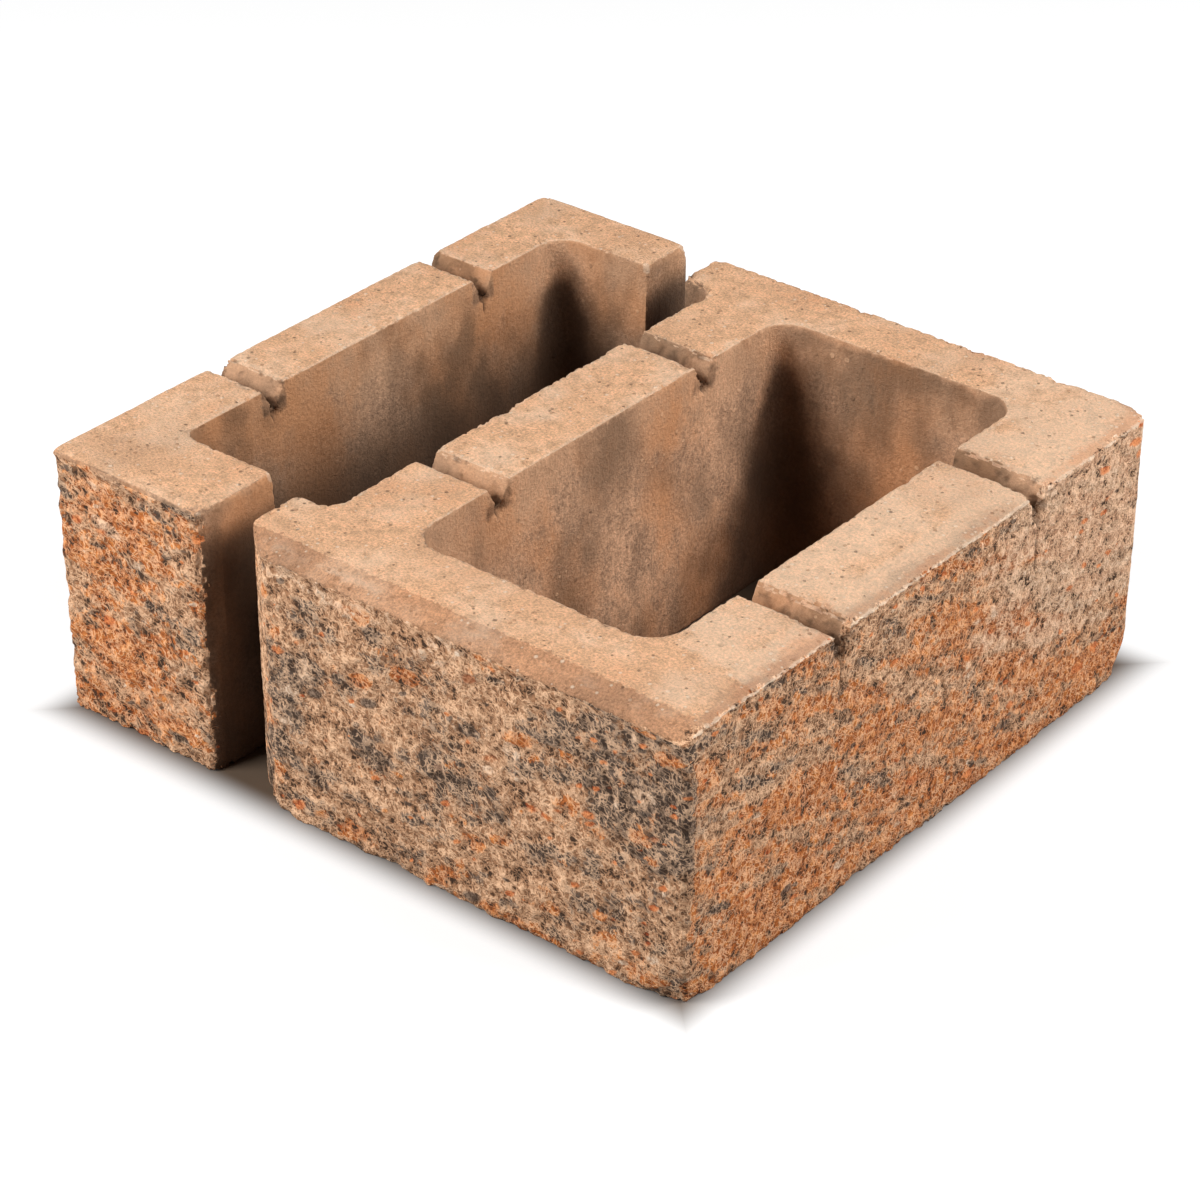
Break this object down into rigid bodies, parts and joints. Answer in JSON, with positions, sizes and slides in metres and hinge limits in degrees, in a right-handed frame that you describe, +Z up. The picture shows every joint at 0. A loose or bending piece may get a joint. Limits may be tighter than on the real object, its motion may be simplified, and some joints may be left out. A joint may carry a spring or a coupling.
{
  "type": "concrete pillar block",
  "caption": "Hollow square pillar block in split-face concrete, cast as a closed half and an open half with knock-out grooves across the side walls",
  "frame": {"origin": "middle of the underside of the pair of halves, on the level they stand on", "axes": "+X from the open half to the closed half, +Y from the front face to the rear face, +Z up"},
  "size_m": [0.424, 0.404, 0.16],
  "materials": {
    "closed_half_concrete": "rough cast, split outside faces",
    "open_half_concrete": "rough cast, split outside faces"
  },
  "bodies": {
    "root": {"closed_half": "closed_half_concrete", "open_half": "open_half_concrete"}
  },
  "joints": []
}
